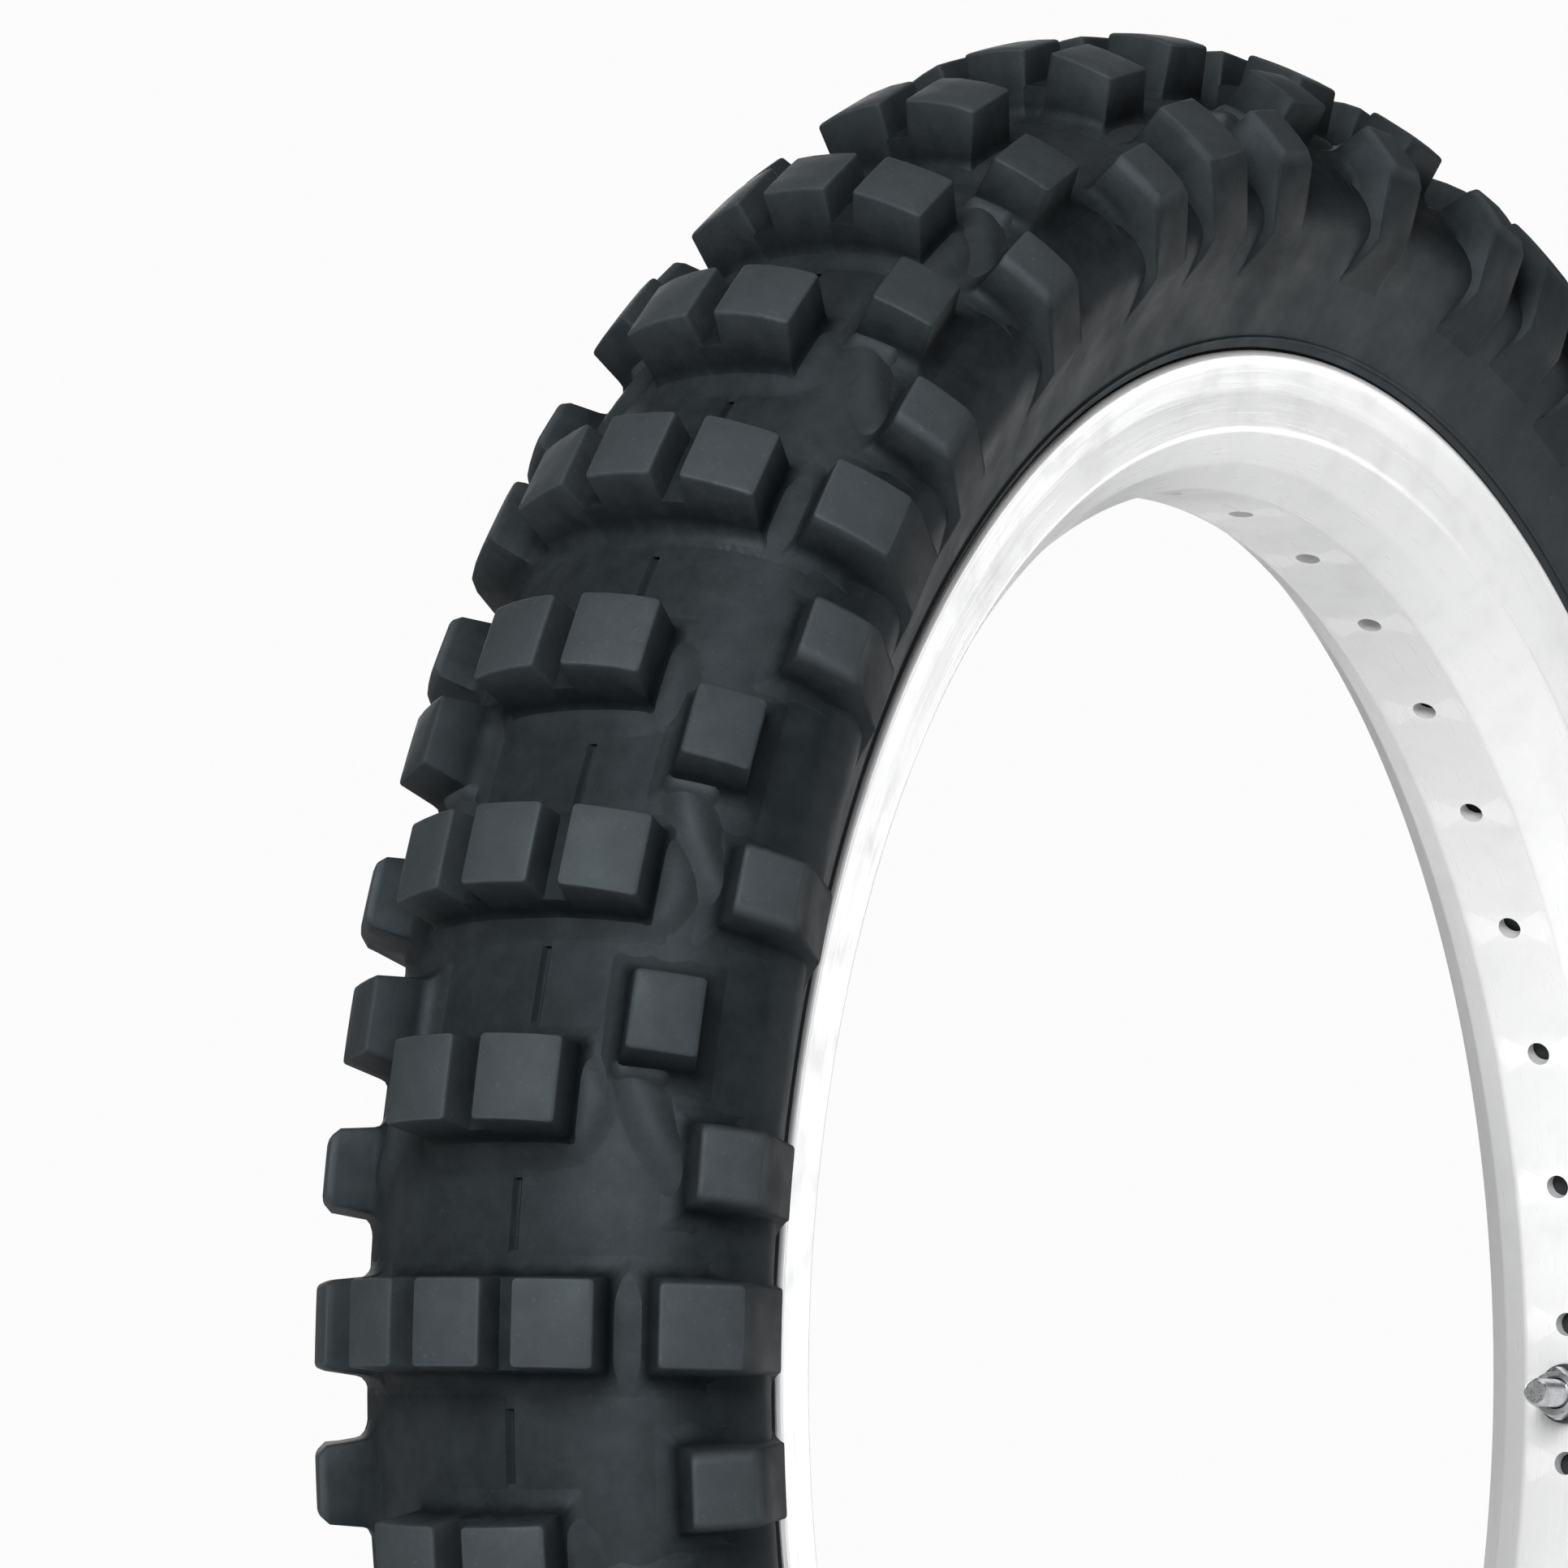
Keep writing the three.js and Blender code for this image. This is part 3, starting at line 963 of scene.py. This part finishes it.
@dataclass
class Tread:
    """Crown rubber with its lugs: rows of three and two by turns, and side lugs between and beside them."""

    casing: Casing = field(default_factory=Casing)
    row_pitch: float = 9
    side_pitch: float = 6
    base: float = 3.5
    base_narrowing: float = 62
    base_thinning: float = 54 / 1.3
    base_least: float = 0.25
    seam_at: float = 5.0
    seam_lip: float = 323.42
    seam_width: float = 2.4
    seam_depth: float = 1.5
    steps: int = 240
    length: float = 19.4
    side_length: float = 17.5
    shift: float = 0.4
    groove_floor: float = 9.5

    def build(self) -> None:
        """Builds the band, the crown lugs and the side lugs."""
        band = self.band()
        place(band, Finish.TYRE_RUBBER, "tread")
        place(self.crown_lugs(), Finish.TYRE_RUBBER)
        place(self.side_lugs(), Finish.TYRE_RUBBER)

    def band(self) -> bpy.types.Object:
        """The base rubber under the lugs, with the mould's seam beside the middle."""
        casing = self.casing
        half = [*[p for p in casing.line() if casing.across(p) < casing.join_angle], casing.join]
        edge = self.seam_width / 2
        groove = ((-1, 0), (-0.45, 0.8), (0, 1), (0.45, 0.8), (1, 0))
        seam = [(self.seam_at + out * edge, self.seam_lip - down * self.seam_depth) for out, down in groove]
        near = [*[p for p in half if p[0] < self.seam_at - edge], *seam,
                *[p for p in half if p[0] > self.seam_at + edge]]
        skin = [*mirrored(half)[:-1], *near]
        narrower = 1 - self.base / self.base_narrowing
        inner = [(a * narrower, r - self.base * max(self.base_least, math.cos(abs(a) / self.base_thinning)))
                 for a, r in [*mirrored(half)[:-1:2], *half[::2]]]
        ring = spun_ring("tread", [*skin, *reversed(inner)], self.steps)
        paint(ring, "scuff", self.greyness)
        return ring

    def greyness(self, at: Vector) -> float:
        """How grey a point of the band is: black in the seam as painted shade in its groove, and dark beside
        the shoulder lugs as painted pocket shade.
        """
        side, radius = -at.y / MM, math.hypot(at.x, at.z) / MM
        # Painted shade: the groove of the seam is painted black.
        if abs(side - self.seam_at) < 0.49 * self.seam_width and radius < self.seam_lip - 0.12:
            return 0.0
        return bare_grey_and_pocket_shade(self.casing.across((side, radius)))

    def crown_lugs(self) -> bpy.types.Object:
        """The rows of the crown: centre and outer lugs, then pairs, each row on its low foot."""
        shapes = (
            Lug("centre_lug", -7.2, 7.2, self.length),
            Lug("outer_crown_lug", 13.1, 28.1, self.length, lean=1.6),
            Lug("pair_lug", 2.9, 18.8, self.length),
            self.bar("row_bar", 28.4),
            self.bar("pair_bar", 19.0),
            Swell("row_foot", ((-1.5, -27), (-1.5, 27)), 15.0, 2.2, 5.5, worn=0.03),
            Swell("long_row_foot", ((-1.5, -46), (-1.5, 46)), 16.0, 1.5, 11.0, worn=0.0),
            Swell("pair_foot", ((-2.5, -15), (-2.5, 15)), 15.5, 2.4, 7.0, worn=0.05),
        )
        made = {shape.name: lay(shape.flat(), self.casing) for shape in shapes}
        copies: list[bpy.types.Object] = []
        for row in range(round(360 / self.row_pitch)):
            angle = row * self.row_pitch
            single = ("pair_bar", "pair_foot") if row % 2 else ("centre_lug", "row_bar")
            single += () if row % 2 else ("row_foot",) if row % 4 else ("long_row_foot",)
            double = ("pair_lug",) if row % 2 else ("outer_crown_lug",)
            copies += [duplicate(made[name], Side.NEAR.move(angle)) for name in single]
            copies += [duplicate(made[name], side.move(angle)) for name in double for side in Side]
        for shape in made.values():
            bpy.data.objects.remove(shape)
        return join("crown_lugs", copies)

    def bar(self, name: str, half: float) -> Lug:
        """The bar that ties the lugs of a row together up to the floor of their grooves, its top painted
        black as shade in the grooves.
        """
        return Lug(name, -half, half, self.length + 1.0, height=self.groove_floor, draft=0.35, bevel=0.5,
                   worn=0.0, cuts_across=11)

    def side_lugs(self) -> bpy.types.Object:
        """The step lugs, the shoulder lugs and the wide shoulder lugs, all round both sides."""
        shapes = (
            Lug("step_lug", 30.3, 43.8, self.side_length + 0.4, foot=5.2, draft=1.5, worn=0.62),
            Swell("step_ledge", ((-10.5, 30), (-10.5, 38)), 4.4, 4.4, 3.6, cell=1.0, worn=0.3),
            Swell("step_web", ((-11, 32), (-17, 35), (-25, 39.5), (-33, 46)), 7.2, 2.8, 6.6,
                  cell=1.6, worn=0.12),
            Lug("shoulder_lug", 46.5, 58.9, self.side_length, reach=19, narrow=0.8, shoulder=2.1),
            Lug("wide_shoulder_lug", 40.2, 56.8, self.length + 0.6, reach=19, narrow=0.8, shoulder=1.0),
        )
        made = {shape.name: lay(shape.flat(), self.casing) for shape in shapes}
        order = (
            ("wide_shoulder_lug", 0.0), ("shoulder_lug", self.shift), ("step_lug", 0.0),
            ("shoulder_lug", 0.0), ("step_lug", 0.0), ("shoulder_lug", -self.shift),
        )
        copies: list[bpy.types.Object] = []
        for count in range(round(360 / self.side_pitch)):
            name, shift = order[count % len(order)]
            angle = count * self.side_pitch + shift
            parts = ("step_lug", "step_ledge", "step_web") if name == "step_lug" else (name,)
            copies += [duplicate(made[part], side.move(angle)) for part in parts for side in Side]
        for shape in made.values():
            bpy.data.objects.remove(shape)
        return join("side_lugs", copies)


@dataclass
class Sidewall:
    """Side rubber from the shoulder to the bead, with the fine rib that shows whether the bead sits true."""

    casing: Casing = field(default_factory=Casing)
    inner: tuple[Point, ...] = (
        (33.2, 260.1), (31.4, 260.1), (31.2, 260.6), (33.2, 264.5), (42.8, 281), (47.4, 291.2),
    )
    rib_at: float = 262.5
    # The sidewall is painted lighter than the lug walls beside it, partly as painted light.
    grey: float = 0.52
    bead_grey: float = 0.4
    bead_grey_from: float = 294
    bead_grey_over: float = 30
    steps: int = 240

    def build(self) -> None:
        """Builds both sidewalls."""
        for side, name in ((1, "sidewall_left"), (-1, "sidewall_right")):
            section = [(side * a, r) for a, r in self.section()]
            ring = spun_ring(name, section, self.steps)
            ring.name = ring.data.name = name + "_rubber"
            paint(ring, "scuff", self.greyness)
            place(ring, Finish.TYRE_RUBBER, name)

    def greyness(self, at: Vector) -> float:
        """How grey a point of a sidewall is, partly as painted light: more towards the bead."""
        inwards = self.bead_grey_from - math.hypot(at.x, at.z) / MM
        return self.grey + self.bead_grey * min(1.0, max(0.0, inwards / self.bead_grey_over))

    def section(self) -> list[Point]:
        """The closed cross-section of one sidewall."""
        casing = self.casing
        rib = ((0.0, 1.4), (0.95, 0.75), (1.15, 0.55), (0.6, -0.1))
        line: list[Point] = [casing.join]
        for a, r in (p for p in casing.line() if casing.across(p) >= casing.join_angle):
            if line[-1][1] > self.rib_at >= r:
                line += [(a + out, r + up) for out, up in rib]
            line.append((a, r))
        return [*line, *self.inner[:2], *curve_through(self.inner[2:], 4)]


@dataclass
class Carcass:
    """What lies between the outer rubber and the rim: it stays as the frame has it and gets its finish."""

    finishes: dict[str, Finish] = field(default_factory=lambda: {
        "breaker_ply": Finish.CORD_FABRIC,
        "body_ply_outer": Finish.CORD_FABRIC,
        "body_ply_inner": Finish.CORD_FABRIC,
        "inner_liner": Finish.INNER_RUBBER,
        "bead_core_left": Finish.BEAD_STEEL,
        "bead_core_right": Finish.BEAD_STEEL,
        "bead_filler_left": Finish.INNER_RUBBER,
        "bead_filler_right": Finish.INNER_RUBBER,
        "chafer_left": Finish.CHAFER_FABRIC,
        "chafer_right": Finish.CHAFER_FABRIC,
        "rim_strip": Finish.INNER_RUBBER,
        "inner_tube": Finish.TUBE_RUBBER,
    })

    def dress(self) -> None:
        """Gives each node its finish."""
        keep(self.finishes)


@dataclass
class Rim:
    """Light alloy rim with rolled edges, drilled for the spoke nipples, the valve and the rim lock."""

    section: tuple[Point, ...] = (
        (8.5, 229), (14.5, 241.4), (27.3, 241.4), (27.3, 250.2), (31.1, 255.3), (31.9, 259.4), (33.8, 259.2),
        (34.2, 257.9), (33.2, 256.2), (31.7, 249.5), (30.2, 239.4), (22, 231), (13, 225),
    )
    holes: int = 36
    hole_radius: float = 3.3
    fixing_radius: float = 4.4
    drill_at: float = 227
    drill_depth: float = 16
    edge: float = 1.1
    steps: int = 216

    def build(self) -> None:
        """Builds the rim."""
        outline = rounded([*self.section, *mirrored(self.section)], self.edge)
        ring = spun_ring("rim_ring", outline, self.steps)
        drills = [self.drill((i + 0.5) * 360 / self.holes, self.hole_radius) for i in range(self.holes)]
        drills += [self.drill(angle, self.fixing_radius) for angle in (-90, 180)]
        cutter = join("drills", drills)
        finish_with(ring, "BOOLEAN", operation="DIFFERENCE", object=cutter, solver="EXACT")
        bpy.data.objects.remove(cutter)
        smooth(ring, 30)
        finish_with(ring, "WEIGHTED_NORMAL", keep_sharp=True)
        place(ring, Finish.RIM_ALLOY, "rim")

    def drill(self, angle: float, radius: float) -> bpy.types.Object:
        """Cylinder along a wheel radius through the well of the rim.

        Args:
            angle: The angle round the wheel, in degrees.
            radius: Its radius in millimetres.

        Returns:
            The cylinder.
        """
        bar = bar_along_x(radius, self.drill_depth, -self.drill_at)
        set_in_mesh(bar)
        bar.data.transform(Side.NEAR.move(angle))
        return bar


class Spoke(Enum):
    """Where a small part stands: its axis, which is modelled along Y, turned to a radius of the wheel."""

    VALVE = ("X", 90)
    LOCK = ("Z", 90)

    def turn(self, piece: bpy.types.Object) -> bpy.types.Object:
        """Turns the mesh of a part to its radius."""
        axis, angle = self.value
        piece.data.transform(Matrix.Rotation(math.radians(angle), 4, axis))
        return piece


@dataclass
class Turning:
    """Small turned part, whose section is pairs (distance from the wheel axis, distance from its own)."""

    name: str
    spoke: Spoke
    section: tuple[Point, ...]
    steps: int = 32
    edge: float = 0.25

    def build(self) -> bpy.types.Object:
        """Builds the part."""
        body = spun_ring(self.name, rounded(self.section, self.edge, 2), self.steps)
        return self.spoke.turn(body)


@dataclass
class Stud:
    """Threaded stem or stud, hollow where it has a bore.

    The thread starts after a lead, and the tip is in pairs (distance along, depth under the radius).
    """

    name: str
    spoke: Spoke
    start: float
    thread_end: float
    foot: tuple[Point, ...]
    radius: float = 4.0
    pitch: float = 0.8
    depth: float = 0.32
    bore: float = 0.0
    lead: float = 1.0
    tip: tuple[Point, ...] = ((0, 0.8), (0.6, 0.3))

    def build(self) -> bpy.types.Object:
        """Builds the part: a chamfered end, the thread's ridges and the foot."""
        turns = round((self.thread_end - self.start - self.lead) / self.pitch)
        line: list[Point] = [(self.start, self.bore)]
        line += [(self.start + along, self.radius - below) for along, below in self.tip]
        for turn in range(turns):
            along = self.start + self.lead + turn * self.pitch
            line += [(along, self.radius - self.depth), (along + self.pitch / 2, self.radius)]
        line += [*self.foot, (self.foot[-1][0], self.bore)]
        return self.spoke.turn(spun_ring(self.name, line, 32))


@dataclass
class Nut:
    """Hexagon nut with chamfered corners and countersunk bore."""

    name: str
    spoke: Spoke
    start: float
    end: float
    corner: float
    bore: float = 4.3
    chamfer: float = 0.7
    face_inset: float = 0.2
    sink: float = 0.6
    steps: int = 48

    def build(self) -> bpy.types.Object:
        """Turns the nut with its chamfers and presses the outside to a hexagon."""
        flat = math.cos(math.radians(30)) * self.corner
        inset = flat - self.face_inset
        shares = (0, 0.35, 0.7, 1)
        rise = [(self.chamfer * share, inset + (self.corner - inset) * share) for share in shares]
        outside = [(self.start + along, radius) for along, radius in rise]
        outside += [(self.end - along, radius) for along, radius in reversed(rise)]
        mouth = self.bore + self.sink
        section = [(self.start + self.sink, self.bore), (self.start, mouth), *outside,
                   (self.end, mouth), (self.end - self.sink, self.bore)]
        nut = spun_ring(self.name, section, self.steps)
        for point in nut.data.vertices:
            turn = math.degrees(math.atan2(point.co.z, point.co.x))
            hexagon = flat / math.cos(math.radians((turn + 30) % 60 - 30))
            factor = min(1.0, hexagon * MM / math.hypot(point.co.x, point.co.z))
            point.co.x *= factor
            point.co.z *= factor
        smooth(nut, 20)
        return self.spoke.turn(nut)


@dataclass
class Cap:
    """Moulded valve cap with grooves for the fingers."""

    name: str = "ribbed_cap"
    section: tuple[Point, ...] = (
        (192.5, 0), (192.5, 3.7), (192.9, 4.4), (193.6, 4.9), (194.4, 5.1), (206.4, 5.1), (207, 4.8),
        (207, 4.3), (195.6, 4.3), (195.6, 0),
    )
    steps: int = 72
    groove: float = 0.94
    grooved_from: float = 5.0
    per_groove: int = 3

    def build(self) -> bpy.types.Object:
        """Builds the cap."""
        cap = spun_ring(self.name, self.section, self.steps)
        for point in cap.data.vertices:
            turn = round(math.degrees(math.atan2(point.co.z, point.co.x)) * self.steps / 360)
            if turn % self.per_groove == 0 and math.hypot(point.co.x, point.co.z) > self.grooved_from * MM:
                point.co.x *= self.groove
                point.co.z *= self.groove
        smooth(cap, 25)
        return Spoke.VALVE.turn(cap)


@dataclass
class Shoe:
    """Rubber shoe of the rim lock: a tapered block, grooved across its top and bent to the rim's well."""

    name: str = "grooved_shoe"
    length: float = 46
    half_top: float = 14.4
    half_bottom: float = 10
    bottom: float = 236.4
    top: float = 246
    grooves: int = 7
    groove_width: float = 1.8
    groove_depth: float = 1.1
    bevel: float = 1.2
    bore: float = 4.3
    bore_at: float = 236.15
    bore_depth: float = 12.3

    def build(self) -> bpy.types.Object:
        """Builds the shoe from a cube."""
        clear_selection()
        bpy.ops.mesh.primitive_cube_add(size=1, location=(0, 0, (self.bottom + self.top) / 2))
        shoe = bpy.context.active_object
        shoe.name = self.name
        shoe.scale = (self.length, 2 * self.half_top, self.top - self.bottom)
        set_in_mesh(shoe)
        spots = [share * self.length for share in even_cuts(self.grooves)]
        half = self.groove_width / 2
        with editing(shoe):
            pick(shoe, Part.VERT, lambda point: point.co.z < self.bottom + 0.1)
            stretch((1, self.half_bottom / self.half_top, 1), (0, 0, 0))
            bpy.ops.mesh.select_all(action="SELECT")
            bpy.ops.mesh.bevel(offset=self.bevel, segments=2, affect="EDGES")
            cut([((spot + side, 0, 0), (1, 0, 0)) for spot in spots for side in (-half, half)])
            pick(shoe, Part.FACE, lambda face: face.normal.z > 0.9 and any(
                abs(face.calc_center_median().x - spot) < half for spot in spots))
            bpy.ops.mesh.extrude_region_move(TRANSFORM_OT_translate={"value": (0, 0, -self.groove_depth)})
            bpy.ops.mesh.select_all(action="SELECT")
            bpy.ops.mesh.normals_make_consistent(inside=False)
        for point in shoe.data.vertices:
            x, y, r = point.co
            point.co = (r * math.cos(x / r) * MM, y * MM, r * math.sin(x / r) * MM)
        drill = bar_along_x(self.bore, self.bore_depth, self.bore_at)
        finish_with(shoe, "BOOLEAN", operation="DIFFERENCE", object=drill, solver="EXACT")
        bpy.data.objects.remove(drill)
        smooth(shoe, 30)
        return shoe


@dataclass
class Hardware:
    """Valve and rim lock. The valve's core and pin stay as the frame has them."""

    kept: dict[str, Finish] = field(default_factory=lambda: {
        "valve_core": Finish.VALVE_BRASS,
        "valve_pin": Finish.VALVE_BRASS,
    })

    def build(self) -> None:
        """Builds the parts of both and dresses the ones that stay."""
        valve, lock = Spoke.VALVE, Spoke.LOCK
        stem_foot = (
            (233.6, 3.95), (235.4, 3.95), (235.9, 4.3), (235.95, 5.2), (236.2, 5.4), (236.8, 5.4),
            (237.1, 5.1),
        )
        stem = Stud("threaded_stem", valve, 197, 232.6, stem_foot, bore=2.7)
        place(stem.build(), Finish.VALVE_BRASS, "valve_stem")
        domed = ((223, 4.4), (223, 6.6), (223.5, 7.5), (224.1, 7.5), (224.1, 4.4))
        place(Turning("domed_washer", valve, domed).build(), Finish.PLATED_STEEL, "valve_washer")
        stem_nut = Nut("stem_hex_nut", valve, 218.7, 222.7, 6.9)
        place(stem_nut.build(), Finish.VALVE_BRASS, "valve_nut", body="stem_nut")
        place(Cap().build(), Finish.BLACK_PLASTIC, "valve_cap", body="cap")
        place(Shoe().build(), Finish.INNER_RUBBER, "lock_shoe")
        stud = Stud("threaded_stud", lock, 204, 234.4, ((235.6, 4.0), (241.6, 4.0), (242, 3.7)), pitch=0.95)
        place(stud.build(), Finish.PLATED_STEEL, "lock_stud")
        flat_seal = ((222.5, 4.4), (222.5, 7.9), (223.1, 8.5), (224.1, 8.5), (224.1, 4.4))
        place(Turning("lock_seal", lock, flat_seal).build(), Finish.BLACK_PLASTIC, "lock_washer")
        stud_nut = Nut("stud_hex_nut", lock, 216.5, 222.2, 7.5)
        place(stud_nut.build(), Finish.PLATED_STEEL, "lock_nut", body="stud_nut")
        keep(self.kept)


# --------------------------------------------------------------------------------------------------
# Studio
# --------------------------------------------------------------------------------------------------


@dataclass(frozen=True)
class Lamp:
    """Soft square lamp that faces the wheel."""

    name: str
    at: tuple[float, float, float]
    power: float
    size: float
    aim: tuple[float, float, float] = (-0.15, 0.0, 0.1)

    def build(self) -> None:
        """Hangs the lamp."""
        clear_selection()
        bpy.ops.object.light_add(type="AREA", location=self.at)
        lamp = bpy.context.active_object
        lamp.name = self.name
        lamp.data.energy = self.power
        lamp.data.size = self.size
        lamp.visible_camera = False
        way = Vector(self.aim) - Vector(self.at)
        lamp.rotation_euler = way.to_track_quat("-Z", "Y").to_euler()


@dataclass
class Studio:
    """Pale floor and surroundings, soft lamps and the camera."""

    camera_at: tuple[float, float, float] = (-1.6049, -0.8578, -0.0429)
    camera_turn: tuple[float, float, float] = (96.024, -1.211, -58.605)
    lens: float = 162.19
    floor_at: float = -0.3425
    floor_glow: float = 0.5
    room_light: float = 0.1
    room_seen: float = 0.97
    lamps: tuple[Lamp, ...] = (
        Lamp("key_lamp", (-2.4, -0.7, 1.1), 112, 1.1),
        Lamp("top_lamp", (-0.1, -0.5, 2.6), 9, 1.4),
        Lamp("side_lamp", (0.4, -2.4, 0.5), 9, 1.6),
        Lamp("inner_lamp", (1.4, -0.5, -0.1), 5, 0.8),
        Lamp("back_lamp", (2.0, 1.8, 1.3), 34, 2.0),
    )

    def build(self) -> None:
        """Builds the floor, the surroundings, the lamps and the camera."""
        self.floor()
        self.surroundings()
        for lamp in self.lamps:
            lamp.build()
        self.camera()
        bpy.context.scene.view_settings.view_transform = "Standard"

    def floor(self) -> None:
        """Lays the floor."""
        clear_selection()
        bpy.ops.mesh.primitive_plane_add(size=30, location=(0, 0, self.floor_at))
        floor = bpy.context.active_object
        floor.name = "floor"
        set_in_mesh(floor)
        g = Graph("pale_floor")
        tone = g.blend(g.spread(g.noise(1.5, 4), 0.3, 0.7), (0.86, 0.86, 0.86), (0.9, 0.9, 0.9))
        seen = g.tree.nodes.new("ShaderNodeLightPath").outputs["Is Camera Ray"]
        glow = g.maths("MULTIPLY", seen, self.floor_glow)
        floor.data.materials.append(g.dress(base_color=tone, roughness=0.9, emission_strength=glow))

    def surroundings(self) -> None:
        """Pale surroundings that look brighter than the light they give."""
        world = bpy.data.worlds.new("pale_room")
        bpy.context.scene.world = world
        world.use_nodes = True
        nodes, links = world.node_tree.nodes, world.node_tree.links
        background = nodes["Background"]
        background.inputs["Color"].default_value = (1, 1, 1, 1)
        seen = nodes.new("ShaderNodeLightPath").outputs["Is Camera Ray"]
        level = nodes.new("ShaderNodeMapRange")
        level.inputs["To Min"].default_value = self.room_light
        level.inputs["To Max"].default_value = self.room_seen
        links.new(seen, level.inputs["Value"])
        links.new(level.outputs[0], background.inputs["Strength"])

    def camera(self) -> None:
        """Sets up the camera."""
        clear_selection()
        turn = Euler([math.radians(angle) for angle in self.camera_turn])
        bpy.ops.object.camera_add(location=self.camera_at, rotation=turn)
        camera = bpy.context.active_object
        camera.data.lens = self.lens
        camera.data.sensor_width = 36
        bpy.context.scene.camera = camera


def main() -> None:
    """Builds the studio and the wheel, piece by piece."""
    logging.basicConfig(level=logging.INFO, format="%(name)s: %(message)s")
    Studio().build()
    Tread().build()
    Sidewall().build()
    Carcass().dress()
    Rim().build()
    Hardware().build()


if __name__ == "__main__":
    main()
